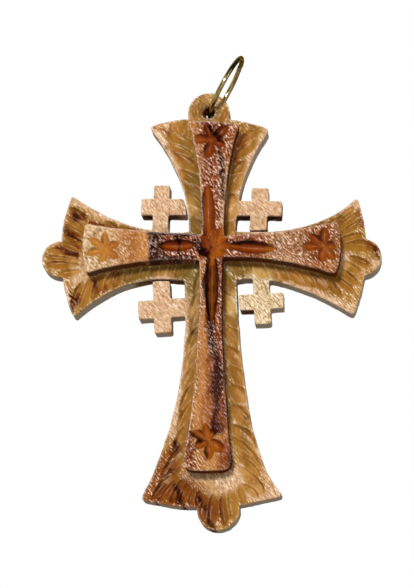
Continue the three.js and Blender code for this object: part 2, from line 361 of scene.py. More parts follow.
def gouge_row(border, first, last, headings, cuts, width, depth, margin, longest=6.0, bow=0.0):
    """Gouge cuts that start evenly from first to last, turn from one heading to the other, and stop at
    margin from the outline or after longest. bow bends them to the upper left."""
    row = []
    for i in range(cuts):
        t = i / (cuts - 1)
        off = [random.uniform(*START_SPREAD), random.uniform(*START_SPREAD)]
        start = np.array(first) * (1 - t) + np.array(last) * t + off
        way = direction(headings[0] * (1 - t) + headings[1] * t + random.uniform(*HEADING_SPREAD))
        line = start + np.outer(np.arange(FIRST_TRY, longest * random.uniform(*LENGTH_SPREAD), TRY_STEP), way)
        free = border.distance(line) > margin * random.uniform(*MARGIN_SPREAD)
        if not free[0]:
            continue
        end = line[-1] if free.all() else line[np.argmin(free) - 1]
        bend = facing_light(start, end, bow)
        keel = facing_light(start, end, GOUGE_KEEL)
        cut_width = width * random.uniform(*WIDTH_SPREAD)
        cut_depth = depth * random.uniform(*DEPTH_SPREAD)
        swell = random.uniform(*SWELL_SPREAD)
        row.append(Cut(start, end, cut_width, cut_depth, bend, keel, swell=swell, **GOUGE_SHAPE))
    return row


# Gouge rows of the base: first and last start, headings, cuts, width, depth and margin, and where a row has
# its own, longest and bow. Those of the borders start under the edge of the raised cross.
BASE_ROWS = [
    # Top arm: left border, its flared end, right border, its flared end
    ((-3.6, 19.6), (-1.2, 3), (152, 124), 8, 2.6, 0.4, 0.3),
    ((-4.8, 20.6), (-7, 21.7), (90, 112), 3, 1.9, 0.35, 0.25),
    ((3.4, 19.6), (1.1, 3), (38, 58), 7, 2.8, 0.4, 0.5, 6.5),
    ((4.4, 21.6), (6.4, 22.6), (80, 58), 2, 1.7, 0.3, 0.25),
    # Left arm: upper border, flared end, lobe, hatching, deep cuts, lower border
    ((-21.4, 4.9), (-8, 2.2), (152, 146), 8, 1.5, 0.3, 0.7, 4.2),
    ((-21.8, 5.6), (-22.2, 1.6), (138, 148), 4, 1.9, 0.5, 0.3, 5.6),
    ((-22.6, 0.9), (-22.9, -2.4), (160, 190), 5, 1.7, 0.42, 0.3, 7),
    ((-25.2, -4.9), (-24.2, -9), (-53, -50), 9, 0.42, 0.3, 0.1, 2.4),
    ((-22.6, -4.2), (-19, -2.8), (248, 250), 3, 2, 0.62, 0.4),
    ((-17.2, -2.4), (-3.9, -0.8), (250, 250), 10, 1.75, 0.42, 0.3, 5),
    # Right arm: upper border, flared end, lobe and lower end, lower border
    ((20, 4.2), (8, 2), (42, 38), 8, 1.3, 0.3, 0.5, 4),
    ((20.4, 4.6), (20.8, 1.9), (48, 20), 4, 1.75, 0.45, 0.3, 5.6),
    ((22.8, -0.6), (18.8, -4.2), (-24, -48), 5, 1.7, 0.42, 0.7, 5.4),
    ((17.8, -3.2), (2.9, -0.9), (-42, -52), 9, 2.2, 0.36, 0.5, 5.6),
    # Lower stem: left border, right border
    ((-1.4, -1.6), (-3.6, -28.6), (252, 247), 9, 2.1, 0.36, 0.4, 7),
    ((1.1, -2.4), (3.2, -29.6), (-62, -47), 9, 2.7, 0.38, 0.35, 7.5, 0.3),
    # Foot: left side, its fan, lobe, right side
    ((-4.2, -32), (-4.9, -36.2), (236, 230), 4, 1.8, 0.5, 0.35, 6.5),
    ((-5.8, -37.4), (-1.9, -40.9), (229, 266), 6, 1.9, 0.6, 0.3, 7.5),
    ((-0.7, -41.2), (3.5, -40.5), (262, 282), 4, 2.1, 0.46, 0.3, 7.5),
    ((3.4, -31.6), (5.2, -39.6), (-46, -42), 6, 1.8, 0.42, 0.5, 6.6, 0.25),
    # Saw scratches on the flat below the raised cross, facets of the tab
    ((-6.3, -37.4), (-0.9, -38.2), (-46, -50), 10, 0.36, 0.16, 0.2),
    ((-3.6, 28.4), (-2.3, 29), (269, 268), 2, 1.4, 0.22, 0.1, 4.4),
]
# Start, end, width, depth, bend and keel of single cuts: right lobe, foot and beside the ring's hole
BASE_CUTS = [
    ((21.2, 1.3), (28.2, 0.6), 2.5, 0.7, 0.45, 0.3),
    ((4.7, -39.6), (5.8, -43.3), 1.5, 0.35),
    ((1.9, 26.9), (0.8, 23.6), 1.2, 0.3),
]


def base_cuts(border):
    cuts = [cut for row in BASE_ROWS for cut in gouge_row(border, *row)]
    return cuts + [Cut(*single) for single in BASE_CUTS]


# Knife cuts of the raised cross: start, end, width and depth of the leaves, then the star and the rosettes
LEAVES = [
    ((-0.6, 1), (-0.96, 11.7), 2.7, 0.95),
    ((2.6, 0.7), (10.9, -0.05), 2.5, 0.85),
    ((-2.7, 0.85), (-9.2, 0.8), 2.4, 0.85),
    ((0, 0.2), (0.05, -13.1), 2.4, 0.95),
]
# Leaves have a painted highlight along their middle and painted shade at their rims
LEAF_SHAPE = dict(section=1.7, tip=0.65, painted_middle_light=2.4)
STAR_CENTRE = (0.1, 0.6)
STAR_DEPTH = 0.8
STAR_SECTION = 1.3
# Heading, reach, width and tone of each ray
STAR_RAYS = [
    (53, 4.3, 2.4, 1.3), (3, 2.9, 2.2, 0.9), (-41, 2.6, 2, 0.8), (-90, 2.6, 1.8, 0.9),
    (-146, 2.8, 1.8, -0.7), (167, 2.4, 1.8, -0.5), (135, 2.8, 1.8, -0.1), (95, 3.2, 1.8, 0.7),
]
# Each rosette's centre, the depth of its petals, and the heading, reach and width of each
ROSETTES = [
    ((-18.4, 0.4), 0.36, [
        (144, 3.5, 1.65), (92, 3.05, 1.65), (23, 2.8, 1.65),
        (-37, 3.05, 1.65), (-101, 2.6, 1.65), (-164, 3.55, 1.65),
    ]),
    ((18.9, 0.5), 0.55, [
        (85, 3.3, 1.8), (139, 3.15, 1.8), (-178, 3.85, 1.8),
        (-96, 3.1, 1.8), (-54, 3.3, 1.8), (-6, 2.3, 1.8),
    ]),
    ((-0.4, 19.7), 0.62, [
        (109, 3.3, 1.5), (41, 3.9, 2.2), (174, 3.3, 2), (-101, 3.5, 2), (-24, 2.7, 1.5),
    ]),
    ((-0.1, -32.8), 0.62, [
        (104, 2.85, 1.5), (62, 2.3, 1.5), (152, 3.1, 1.9),
        (-152, 2.65, 1.8), (-87, 3.5, 1.7), (-37, 3.4, 2),
    ]),
]
PETAL_SECTION = 1.8
PETAL_SPREAD = (0.92, 1.08)
# Shape of rays and petals, and how far they start behind their centre, as a share of their reach
# Rays and petals have a weaker painted highlight along their middle
RAY_SHAPE = dict(swell=0.3, painted_middle_light=1.1)
RAY_START = 0.1
# Sloping cut on the right side of the raised cross's foot: the line it falls from, and its reach above that
FACET_START = (2.65, -29.2)
FACET_END = (0.7, -38.1)
FACET_SLOPE = 0.3
FACET_RISE = 6


def ray(centre, heading, reach, width, depth, section):
    """A cut that starts a little behind a centre and widens outwards"""
    way = direction(heading)
    start = np.array(centre) - way * RAY_START * reach
    return Cut(start, np.array(centre) + way * reach, width, depth, section=section, **RAY_SHAPE)


def overlay_cuts():
    cuts = [Cut(*leaf, **LEAF_SHAPE) for leaf in LEAVES]
    for heading, reach, width, tone in STAR_RAYS:
        cuts.append(ray(STAR_CENTRE, heading, reach, width, STAR_DEPTH, STAR_SECTION))
        cuts[-1].own_tone = tone
    for centre, depth, petals in ROSETTES:
        for heading, reach, width in petals:
            petal_width = width * random.uniform(*PETAL_SPREAD)
            cuts.append(ray(centre, heading, reach, petal_width, depth, PETAL_SECTION))
    return cuts


def facet_depths(x, z):
    start = np.array(FACET_START)
    run = np.array(FACET_END) - start
    out = np.array([-run[1], run[0]]) / norm(run)
    past = (x - start[0]) * out[0] + (z - start[1]) * out[1]
    return np.where(z < FACET_START[1] + FACET_RISE, FACET_SLOPE * np.clip(past, 0, None), 0)


# Wood figure, as soft strokes

# How far strokes wander and in what waves, and the half widths where they begin and end to fade
STROKE_WANDER = 0.22
STROKE_WAVE = 3.0
STROKE_FULL = 0.2
STROKE_GONE = 2.1


def strokes(x, z, paths, seed):
    """Strongest of some soft strokes, each a strength and then X, Z and half width of each of its points"""
    x = x + STROKE_WANDER * waves(x, z, STROKE_WAVE, seed)
    z = z + STROKE_WANDER * waves(x, z, STROKE_WAVE, seed + 1)
    value = np.zeros_like(x)
    for strength, *numbers in paths:
        path = np.reshape(numbers, (-1, 3))
        for (x0, z0, w0), (x1, z1, w1) in zip(path, path[1:]):
            run = np.array([x1 - x0, z1 - z0])
            t = np.clip(((x - x0) * run[0] + (z - z0) * run[1]) / max(run @ run, SAME), 0, 1)
            gap = np.hypot(x - x0 - t * run[0], z - z0 - t * run[1]) / (w0 + (w1 - w0) * t)
            value = np.maximum(value, strength * smoothstep(-gap, -STROKE_GONE, -STROKE_FULL))
    return value


def spot(x, z, radius):
    return (1, x, z, radius, x + SAME, z, radius)


BASE_FIGURE = {
    "olive": [
        (0.9, -3.8, 13.5, 2, -2.6, 3, 2), (0.9, -14, -3.6, 1.6, -3, -3.2, 1.8),
        (0.9, -3.4, -3, 1.6, -4.2, -15, 1.2), (0.8, 3, -3, 1.6, 9, -3.6, 1.4),
        (0.7, 2.6, -4, 1.2, 3.2, -11, 1), (0.6, -5.4, 21, 1.4, -4.6, 17, 1.2),
    ],
    "pale": [
        # The small crosses
        (1, -12.9, 8.8, 1.9, -5.6, 8.8, 1.9), (1, -9.3, 12.9, 1.8, -9.3, 4.8, 1.8),
        (1, 11.6, 8.3, 1.9, 3.6, 8.6, 1.9), (1, 7.8, 12, 1.8, 7.8, 4.6, 1.8),
        (1, -12.9, -9.2, 1.9, -5.4, -9.4, 1.9), (1, -8.7, -13.6, 1.8, -8.7, -5, 1.8),
        (1, 12.1, -8.3, 1.9, 4.6, -8.5, 1.9), (1, 8.3, -12.3, 1.8, 8, -4.6, 1.8),
        # Margins along the edges
        (0.8, -11.2, 23.7, 0.8, -6.6, 16.2, 0.6, -5.4, 11, 0.4),
        (0.8, 8.9, 22.4, 0.9, 5.4, 15.2, 0.7, 4, 10.4, 0.5),
        (0.8, -24.9, 10.4, 0.9, -18, 6.9, 0.6, -12, 5.1, 0.3), (0.9, 24.2, 9.4, 1.3, 22.4, 7.8, 0.7),
        (0.8, 23.8, -10.2, 0.9, 17, -6.7, 0.6, 12, -5.2, 0.4),
        (1, -4.5, -10, 0.6, -5, -20, 0.65, -6.6, -31, 0.7),
        (0.7, 4.5, -12, 0.4, 5.6, -24, 0.6, 7.4, -32, 0.7, 10.6, -40.5, 0.9),
        # Flats beside the ends of the raised cross
        (0.9, -24, -0.6, 1.1, -23.4, -4, 1), (0.9, 22.7, -0.8, 0.9, 22, -2.6, 0.8),
        (1, -3.4, -38.8, 1.3, 1.2, -40, 1.6, 5, -38.2, 1.5), (0.9, 7, -41.4, 1.2, 10.6, -41.4, 0.8),
        spot(27.6, -1.8, 0.9), (0.9, -25, -6.2, 0.9, -24.3, -9.6, 0.8), spot(-8.3, 23.9, 0.9),
    ],
    "red": [
        (1, -9.3, -41.6, 2.4, -4.6, -41.4, 2.6, -0.4, -44.4, 1.9),
        (1, -6.2, -33.6, 0.9, -9, -40, 2.2), (1, -26.4, 5, 0.8, -24, 3.6, 0.6),
        (1, -24.2, 7.4, 0.8, -22.8, 7.3, 0.5), (1, -26.9, 1.8, 0.6, -24, 0.3, 0.5),
        (0.9, -24.6, 2.6, 0.4, -23.6, 1.6, 0.4), (0.8, -24.4, -10.2, 0.4, -23.3, -6.6, 0.45),
        (0.8, -20.5, -4.2, 0.5, -20.2, -6.6, 0.3), (0.8, -19.2, -6.4, 0.5, -18.6, -4.9, 0.3),
        (0.7, -21.5, 6.2, 0.5, -16, 4.6, 0.4), (0.8, 26.4, 1.3, 0.6, 28.2, 0.7, 0.7),
        (0.8, 24.6, 7, 0.5, 25.4, 4.8, 0.4), (0.7, 2, -45.8, 0.8, 1.4, -42.6, 0.9),
        (0.7, 5, 21.4, 0.8, 3.2, 17, 0.6), (0.7, -3.6, 12.2, 0.35, -5.6, 13.6, 0.35),
        (0.6, -4.2, 17, 0.4, -8.4, 19.4, 0.35), (0.6, -10.8, 23.2, 0.3, -8, 22.4, 0.3),
    ],
    "dark": [
        spot(-24.1, 7.4, 0.55), (0.8, -25.8, 4.6, 0.4, -24.6, 3.8, 0.35),
        (0.8, -25.6, 1.1, 0.3, -24.1, 0.3, 0.35), (0.8, -25, -5.8, 0.16, -24, -7.1, 0.12),
        (0.9, -24.9, -6.9, 0.16, -23.7, -8.4, 0.14), (0.8, -24.6, -8, 0.16, -23.8, -9.1, 0.14),
        (0.7, -24.4, -9.1, 0.14, -23.9, -9.8, 0.12), (0.7, -24.4, -9.6, 0.25, -23.6, -7.6, 0.25),
        (0.7, -20.5, -4.2, 0.3, -20.3, -5.6, 0.2), (0.8, -6.8, -37.5, 0.4, -7, -38.6, 0.3),
        (1, -5.8, -39.6, 0.3, -5.1, -42.4, 0.6), (0.7, -8.6, -42, 0.25, -9.2, -43, 0.2),
        (0.7, -4.4, -43, 0.3, -4.2, -44.2, 0.3), (0.9, -2, -41.8, 0.3, -1.2, -43.2, 0.35),
        (0.8, -0.8, -43, 0.35, -0.4, -45.2, 0.35), (0.8, -0.2, -46, 0.35, 0.6, -47.6, 0.4),
        (0.7, -6.3, -32.8, 0.3, -6, -34.6, 0.3), (0.7, 27.6, 0.8, 0.4, 28.2, -0.8, 0.3),
        # Painted shade in the mouth of the ring's hole
        spot(-1.3, 25.9, 1.3),
    ],
    # Painted sheen on the lower right small cross, which faces the light more than the others
    "cream_sheen": [(1, 12.1, -8.3, 1.9, 5, -8.5, 1.9), (1, 8.3, -12.3, 1.8, 8, -4.6, 1.8)],
    # Stronger painted glints on the lower right small cross
    "rough_and_glinting": [spot(8, -8.6, 5)],
}

OVERLAY_FIGURE = {
    "pale": [
        (1, -21.2, 6, 3.4, -21, -4.6, 3.4), (0.5, -17.4, 4.4, 1.6, -17, -2.6, 1.6),
        (0.5, -1.7, 18, 0.8, -1.2, 13, 0.7), (0.7, 11.2, 3.6, 1.8, 11.4, -2.6, 1.8),
        (0.6, 1.8, 15, 0.8, 1.6, 6, 0.7), (0.6, 14.4, 4, 1.6, 14.4, -2.6, 1.6),
        (0.4, 20.8, 4.4, 0.7, 20.6, -3.4, 0.7),
    ],
    "red": [
        (1, -7.6, 5, 2, -7.4, -4, 2), (1, -5.4, 0.6, 2.6, -1.6, 0.6, 2),
        (0.85, 3.6, 0.6, 2, 6.6, 0.6, 2.8), (0.52, 9.6, 0.6, 3.4, 15, 0.6, 4),
        (0.55, 15, 0.6, 4.4, 22, 0.6, 6), (0.8, 0.2, 23, 3.4, -0.1, 12, 1.8, -0.1, 3, 1.3),
        (0.9, 1.9, -2, 1, 1.8, -18, 1.2, 2.2, -30, 1.2), (0.8, 0.2, -13, 1, 1, -30, 1.4),
        (0.8, -3.8, -33, 0.8, -2.8, -37.4, 0.6), (0.8, 3.2, -33.6, 1.2, 2.2, -37.4, 0.8),
    ],
    "dark": [
        (1, -10.3, 5, 0.9, -10.1, 1.6, 0.7, -9.9, -3.6, 0.95), (0.8, -9.4, 3, 0.7, -8.6, -0.6, 0.7),
        (0.9, -9.6, 2.8, 0.35, -3, 2.5, 0.3), (0.9, -5.7, 2.2, 0.3, -5.6, -1, 0.3),
        (0.8, -9, -1.6, 0.5, -3, -1.4, 0.35), (1, -2.9, 1.2, 0.5, -1.2, -0.6, 0.7),
        (0.65, 2.8, 1.3, 0.35, 4.4, 1.4, 0.35, 7.4, 1.1, 0.25), (0.6, 1.9, 2.6, 0.3, 2.7, 2.5, 0.2),
        (0.8, 1.3, 17.2, 0.35, 1.5, 14, 0.5, 1.9, 9, 0.35),
        (1, -0.9, 22.6, 0.3, 0.3, 20.6, 0.5, 0.9, 20.2, 0.5),
        (0.9, -0.9, -1, 0.3, -1, -8.6, 0.3, -0.3, -12.6, 0.4),
        (0.7, 1, -2, 0.25, 0.95, -8.6, 0.25, 0.3, -12.6, 0.4), (0.72, 0.1, -3.4, 0.7, 0.1, -12.6, 0.6),
        (0.9, 0.05, -13.4, 0.5, 0.15, -16, 0.6, 0.75, -18.4, 0.7, 1.2, -20.4, 0.85, 1.3, -23, 0.9),
        (0.85, 1.3, -23, 0.9, 1.1, -25.4, 0.7, 1.05, -29, 0.6, 1.3, -31.4, 0.8),
        (0.7, 2.5, -27, 0.3, 2.7, -29.4, 0.3), (0.75, -3.3, -31.8, 0.4, -1.4, -32.7, 0.5),
        (0.65, -2.4, -34.6, 0.4, -2.1, -34.4, 0.35), (0.7, -0.5, -34.8, 0.3, -0.3, -36.4, 0.25),
        # The first stroke here is painted shade along the sloping right side of the foot
        (0.9, 3.5, -34.6, 0.4, 3.5, -37.6, 0.4), (0.7, -4.4, -31, 0.3, -4.3, -36.4, 0.3),
    ],
    # Where the flats are roughest and show the strongest painted glints
    "rough_and_glinting": [
        (1, 0.2, 23, 3.4, 0.4, 4, 2.2), (0.9, -9.6, 0.6, 1.6, -2, 0.6, 2.6),
        (0.7, 3, 0.6, 2.6, 21, 0.6, 5), (0.6, -20.8, 0.6, 5, -19, 0.6, 4.6),
        (1, 0.1, -13, 0.9, 0.6, -17.4, 0.8), (0.9, 1.5, -2, 0.5, 1.7, -13, 0.5, 2.6, -29, 0.4),
        (0.8, -3.9, -29, 0.7, -2.6, -37, 1.6), (0.9, -1.6, -3, 0.5, -1.7, -10, 0.4),
        (0.9, -1.95, -10, 0.3, -2.5, -25, 0.35, -3.7, -33, 0.4),
    ],
}

# Darker strokes which only the side walls show: on walls of the small crosses beside the arms, and painted
# shade in the ring's hole
BASE_WALL_DARKENING = {
    "dark": [
        (0.8, -7.2, 6.6, 1.5, -13.4, 7.3, 1.4), (0.8, 4.6, 6.8, 1.6, 11.6, 6.6, 1),
        (0.8, -9.4, -6.4, 1, -4.8, -6.6, 1), (0.8, 4.6, -6.4, 1.2, 5.4, -9.8, 1.4, 6.8, -9.8, 1),
        (0.6, -12.6, -4.4, 1, -5.2, -4.3, 1), (0.7, 6, 4.6, 0.8, 10, 4.8, 0.8),
        # Painted shade on the wall of the ring's hole
        spot(-1.3, 25.9, 2.4),
    ],
}

# Meshes of the wooden pieces

EDGE_RINGS = (0.04, 0.09, 0.15, 0.22, 0.32)
# How much room points need, as shares of their ring's depth, the last ring's depth and the grid's step
RING_ROOM = 0.97
INNER_ROOM = 0.7
GRID_ROOM = 0.45
# Shares of the way through from the front, and of the solid hole's width there: it flares and narrows
RING_BORE = ((0, 1.18), (0.16, 1.0), (0.34, 0.72), (0.5, 0.58), (0.66, 0.68), (1, 0.95))
NO_BORE = ((0, 1), (1, 1))
# Height and length of the front's slow and quick waves, its sinking for them, and the margin they fade in
SLOW_WAVE = (0.03, 6.0)
QUICK_WAVE = (0.012, 0.9)
SUNK = 0.05
LEVEL_MARGIN = 0.5
# Depths over which cuts begin to look carved, toned and painted with shade, and ridged with a painted
# highlight, and how close in depth two make a ridge
CARVED = (0.02, 0.16)
TONED = (0.02, 0.12)
RIDGED = (0.03, 0.1)
RIDGE_NEAR = (-0.12, -0.01)
# How far in edges are lightened by wear and a painted highlight, how the highlight rises as they face the
# light, and how much those facing away are still lightened
WEAR_AND_HIGHLIGHT_MARGIN = (0.1, 0.4)
HIGHLIGHT_FACING = (-0.2, 0.6)
WORN_LEAST = 0.2


def edge_drop(distance, radius):
    """How far a rounded edge falls at a distance from the outline"""
    inner = np.clip(radius - distance, 0, radius)
    return radius - np.sqrt(np.clip(radius**2 - inner**2, 0, None))


def apart(points, gap):
    """The points without those that lie nearer than gap to an earlier one"""
    cells = {}
    kept = []
    for index, (x, z) in enumerate(points):
        column, row = math.floor(x / gap), math.floor(z / gap)
        around = [p for i in (-1, 0, 1) for j in (-1, 0, 1) for p in cells.get((column + i, row + j), ())]
        if all((x - a) ** 2 + (z - b) ** 2 > gap * gap for a, b in around):
            cells.setdefault((column, row), []).append((x, z))
            kept.append(index)
    return points[kept]


def face_points(border, cuts, step):
    """Points inside the outline: rings along the edge, the lines of the cuts, and a grid between them"""
    ringed = np.concatenate([border.points + border.inward() * depth for depth in EDGE_RINGS])
    wanted = np.repeat(EDGE_RINGS, len(border.points))
    ringed = ringed[border.distance(ringed) > wanted * RING_ROOM]
    lines = np.concatenate([np.zeros((0, 2)), *[cut.lines() for cut in cuts]])
    lines = lines[border.distance(lines) > EDGE_RINGS[-1]]
    features = np.concatenate([ringed, apart(lines, LEAST_GAP)])
    grid = border.grid(step)
    grid = grid[border.distance(grid) > EDGE_RINGS[-1] * INNER_ROOM]
    tree = search_tree(features)
    free = np.array([tree.find((x, z, 0))[2] > step * GRID_ROOM for x, z in grid])
    return np.concatenate([features, grid[free]])


def triangles(border, points):
    """Triangles of the points inside the outline, whose own points come first. Those with all corners on
    inner loops would close a hole, and are left out."""
    flat = [Vector(p) for p in np.concatenate([border.points, points])]
    ends = []
    start = 0
    for loop in border.loops:
        ring = list(range(start, start + len(loop)))
        ends += zip(ring, ring[1:] + ring[:1])
        start += len(loop)
    outer = list(range(len(border.loops[0])))
    _, _, faces, source, _, _ = delaunay_2d_cdt(flat, ends, [outer], 1, TINY)
    inner_loops = range(len(outer), len(border.points))
    found = []
    for face in faces:
        corners = [source[i][0] for i in face]
        if not all(i in inner_loops for i in corners):
            found.append(corners)
    return found


def carve_all(cuts, x, z):
    """Depths of the second deepest and the deepest cut at each point, and the tone of the deepest with its
    painted shade
    """
    second = np.zeros_like(x)
    first = np.zeros_like(x)
    tone = np.zeros_like(x)
    for cut in cuts:
        depths, cut_tone = cut.depths(x, z)
        tone = np.where(depths > first, cut_tone, tone)
        second = np.maximum(second, np.minimum(first, depths))
        first = np.maximum(first, depths)
    return second, first, tone


def carved_piece(name, node, front, back, radius, cuts_of, extra, bore, figure, wall_darkening, seed, wander):
    """A flat wooden piece with the CAD node's outline, its front carved, and its wood figure as attributes.
    radius is that of its edges, extra gives depths beside those of the cuts, and the wall strokes are strokes
    of the same figure that only the side walls show: darker patches, with painted shade in a bored hole."""
    loops = [worn_loop(loop, wander, seed) for loop in facing_in(face_loops(node, back))]
    border = Border(bored(loops, 0, bore))
    cuts = cuts_of(border)
    count = len(border.points)

    inner = face_points(border, cuts, FACE_STEP)
    polygons = triangles(border, inner)
    face = np.concatenate([border.points, inner])
    x, z = face.T
    away = np.concatenate([np.zeros(count), border.distance(inner)])
    second, carved, tone = carve_all(cuts, x, z)
    slow = SLOW_WAVE[0] * waves(x, z, SLOW_WAVE[1], seed + 2)
    quick = QUICK_WAVE[0] * waves(x, z, QUICK_WAVE[1], seed + 3)
    uneven = (slow + quick + SUNK) * smoothstep(away, 0, LEVEL_MARGIN)
    y = front + np.maximum(carved, extra(x, z)) + edge_drop(away, radius) + uneven
    layers = [(x, y, z)]

    back_border = Border(bored(loops, 1, bore))
    behind = face_points(back_border, [], BACK_STEP)
    back_x, back_z = np.concatenate([back_border.points, behind]).T
    back_away = np.concatenate([np.zeros(count), back_border.distance(behind)])
    back_start = len(x)
    layers.append((back_x, back - edge_drop(back_away, radius), back_z))
    polygons += [[back_start + i for i in reversed(corners)] for corners in triangles(back_border, behind)]

    wall_start = back_start + len(back_x)
    for row in range(1, WALL_ROWS):
        share = row / WALL_ROWS
        wall_x, wall_z = np.concatenate(bored(loops, share, bore)).T
        layers.append((wall_x, y[:count] * (1 - share) + (back - radius) * share, wall_z))
    rows = [0] + [wall_start + count * i for i in range(WALL_ROWS - 1)] + [back_start]
    begin = 0
    for loop in border.loops:
        for i in range(len(loop)):
            a, b = begin + i, begin + (i + 1) % len(loop)
            for upper, lower in zip(rows, rows[1:]):
                polygons.append((upper + b, upper + a, lower + a, lower + b))
        begin += len(loop)

    points = np.concatenate([np.stack(layer, axis=1) for layer in layers])
    mesh = bpy.data.meshes.new(name)
    mesh.from_pydata((points * MM).tolist(), [], polygons)
    mesh.validate()
    mesh.shade_smooth()
    wall = np.arange(len(points)) >= wall_start
    add_attribute(mesh, "wall", wall)
    # Edges are lightened a little all round by wear, and more as a painted highlight where they face the
    # light
    wear_and_highlight = WORN_LEAST + (1 - WORN_LEAST) * smoothstep(border.facing(face, LIGHT_SIDE), *HIGHLIGHT_FACING)
    front_values = {
        "carve": smoothstep(carved, *CARVED),
        # Painted highlight, with a little wear, on the ridges between cuts
        "ridge_wear_and_highlight": smoothstep(second - carved, *RIDGE_NEAR) * smoothstep(carved, *RIDGED),
        # The cuts' own tones, with their painted shade and highlights
        "tone": tone * smoothstep(carved, *TONED),
        "edge": wear_and_highlight * (1 - smoothstep(away, *WEAR_AND_HIGHLIGHT_MARGIN)),
    }
    for field, values in front_values.items():
        add_attribute(mesh, field, np.pad(values, (0, len(points) - len(x))))
    for field, paths in figure.items():
        values = strokes(points[:, 0], points[:, 2], paths, seed)
        # The walls also take the darker wall strokes, painted shade in the ring's hole among them
        wall_darkened = strokes(points[:, 0], points[:, 2], wall_darkening.get(field, []), seed)
        values = np.where(wall, np.maximum(values, wall_darkened), values)
        add_attribute(mesh, field, values)
    piece = in_scene(name, mesh)
    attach(piece, "wood")
    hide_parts(node)
    return piece


def in_scene(name, data):
    """A new object in the scene"""
    piece = bpy.data.objects.new(name, data)
    bpy.context.scene.collection.objects.link(piece)
    return piece


def add_attribute(mesh, name, values):
    mesh.attributes.new(name, "FLOAT", "POINT").data.foreach_set("value", values.astype(np.float32))


# Materials

def srgb(*values):
    """Linear colour of an sRGB one, given from 0 to 255"""
    channels = [value / 255 for value in values]
    return (*[c / 12.92 if c <= 0.04045 else ((c + 0.055) / 1.055) ** 2.4 for c in channels], 1)


class Nodes:
    """The node tree of a material or a world, and short forms of its nodes"""

    def __init__(self, owner):
        owner.use_nodes = True
        self.tree = owner.node_tree

    def feed(self, socket, value):
        """Link a socket to an output, or set it to a value"""
        if isinstance(value, bpy.types.NodeSocket):
            self.tree.links.new(value, socket)
        else:
            socket.default_value = value

    def add(self, kind, links=None, **settings):
        node = self.tree.nodes.new(kind)
        for key, value in settings.items():
            setattr(node, key, value)
        for key, value in (links or {}).items():
            self.feed(node.inputs[key], value)
        return node

    def step(self, value, low, high, bottom=0.0, top=1.0):
        """Smooth ramp from bottom to top as value goes from low to high"""
        links = {"Value": value, "From Min": low, "From Max": high, "To Min": bottom, "To Max": top}
        return self.add("ShaderNodeMapRange", links, interpolation_type="SMOOTHSTEP").outputs[0]

    def towards(self, place, side, low, high, bottom, top):
        """Smooth ramp from bottom to top as a direction turns towards a side"""
        links = {0: place, 1: Vector(side).normalized()}
        along = self.add("ShaderNodeVectorMath", links, operation="DOT_PRODUCT")
        return self.step(along.outputs["Value"], low, high, bottom, top)

    def seen_or_lit(self, seen, mirrored, lit):
        """A value that the camera sees, also through glass, one for gloss, and one that lights the rest"""
        path = self.add("ShaderNodeLightPath").outputs
        value = lit
        for kind, other in (("Glossy", mirrored), ("Transmission", seen), ("Camera", seen)):
            value = self.add("ShaderNodeMix", {0: path[f"Is {kind} Ray"], 2: value, 3: other}).outputs[0]
        return value


class Shader(Nodes):
    """A material whose patterns lie in the object's own coordinates, in millimetres"""

    def __init__(self, name):
        self.material = bpy.data.materials.new(name)
        super().__init__(self.material)
        links = {0: self.add("ShaderNodeTexCoord").outputs["Object"], "Scale": 1 / MM}
        self.place = self.add("ShaderNodeVectorMath", links, operation="SCALE").outputs[0]

    def attribute(self, name):
        return self.add("ShaderNodeAttribute", attribute_name=name).outputs["Fac"]

    def noise(self, scale, detail, roughness=0.5, turn=(0, 0, 0)):
        """Noise with its own scale along each axis, in features per millimetre"""
        angles = tuple(math.radians(a) for a in turn)
        turned = self.add("ShaderNodeMapping", {0: self.place, "Rotation": angles})
        scaled = self.add("ShaderNodeVectorMath", {0: turned.outputs[0], 1: scale}, operation="MULTIPLY")
        settings = {"Vector": scaled.outputs[0], "Scale": 1.0, "Detail": detail, "Roughness": roughness}
        return self.add("ShaderNodeTexNoise", settings).outputs["Fac"]

    def math(self, operation, a, b):
        return self.add("ShaderNodeMath", {0: a, 1: b}, operation=operation).outputs[0]

    def times(self, a, b):
        return self.math("MULTIPLY", a, b)

    def mix(self, share, a, b, way="MIX"):
        return self.add("ShaderNodeMix", {0: share, 6: a, 7: b}, data_type="RGBA", blend_type=way).outputs[2]

    def tint(self, share, colour, tint, way="MULTIPLY"):
        """A colour, blended by a share with what a tint makes of it"""
        return self.mix(share, colour, self.mix(1.0, colour, tint, way))

    def bump(self, height, depth, under=None):
        """Normal of a height from 0 to 1 that stands for a depth in millimetres"""
        links = {"Height": height, "Distance": depth * MM, "Strength": 1.0}
        if under:
            links["Normal"] = under
        return self.add("ShaderNodeBump", links).outputs[0]

    def surface(self, values):
        """The material, its surface with the given values"""
        for key, value in values.items():
            self.feed(self.tree.nodes["Principled BSDF"].inputs[key], value)
        return self.material


# Turn of the saw's scratches and of the shimmer in the cuts, against the upright grain
SAW_TURN = (0, 40, 0)
# How much the figure wanders, how much the cuts shimmer, and how quickly the painted glints rise to their
# full colour
FIGURE_CLOUD = 0.45
SHIMMER = 2.2
GLINT_RISE = 0.055
WAX_IOR = 1.5


